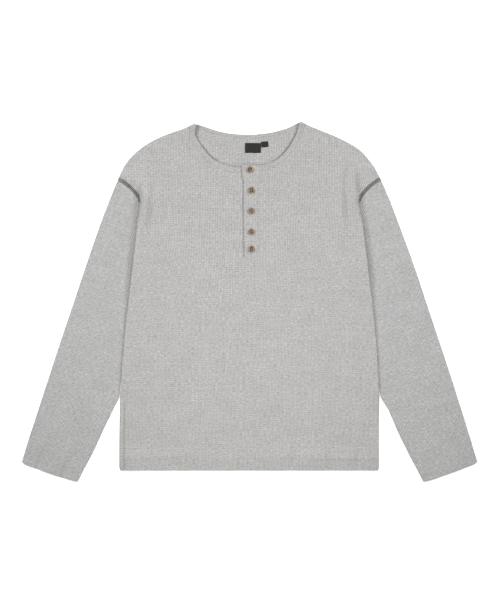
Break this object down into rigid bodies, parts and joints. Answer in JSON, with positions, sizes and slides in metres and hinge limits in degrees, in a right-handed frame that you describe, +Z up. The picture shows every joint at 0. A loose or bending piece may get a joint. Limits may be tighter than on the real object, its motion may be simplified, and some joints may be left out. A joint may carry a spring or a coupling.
{
  "type": "henley shirt",
  "caption": "Long-sleeved henley shirt in grey waffle knit, laid flat with its sleeves drawn down, with a neckband, a buttoned half placket and dropped shoulders.",
  "frame": {"origin": "on the surface that the shirt lies on, at the middle of its overall length and width", "axes": "+X to the picture's right across the shirt, +Y from the hem towards the neck, +Z up, away from the surface"},
  "size_m": [0.8852, 0.7016, 0.0123],
  "materials": {
    "waffle_knit": "heather grey waffle knit, matt",
    "horn": "mottled brown, satin",
    "label_weave": "close black weave"
  },
  "bodies": {
    "root": {"back": "waffle_knit", "front": "waffle_knit", "sleeve_left": "waffle_knit", "sleeve_right": "waffle_knit", "neckband": "waffle_knit", "placket_top": "waffle_knit", "placket_under": "waffle_knit", "button_1": "horn", "button_2": "horn", "button_3": "horn", "button_4": "horn", "button_5": "horn", "neck_label": "label_weave", "size_tab": "label_weave"}
  },
  "joints": []
}
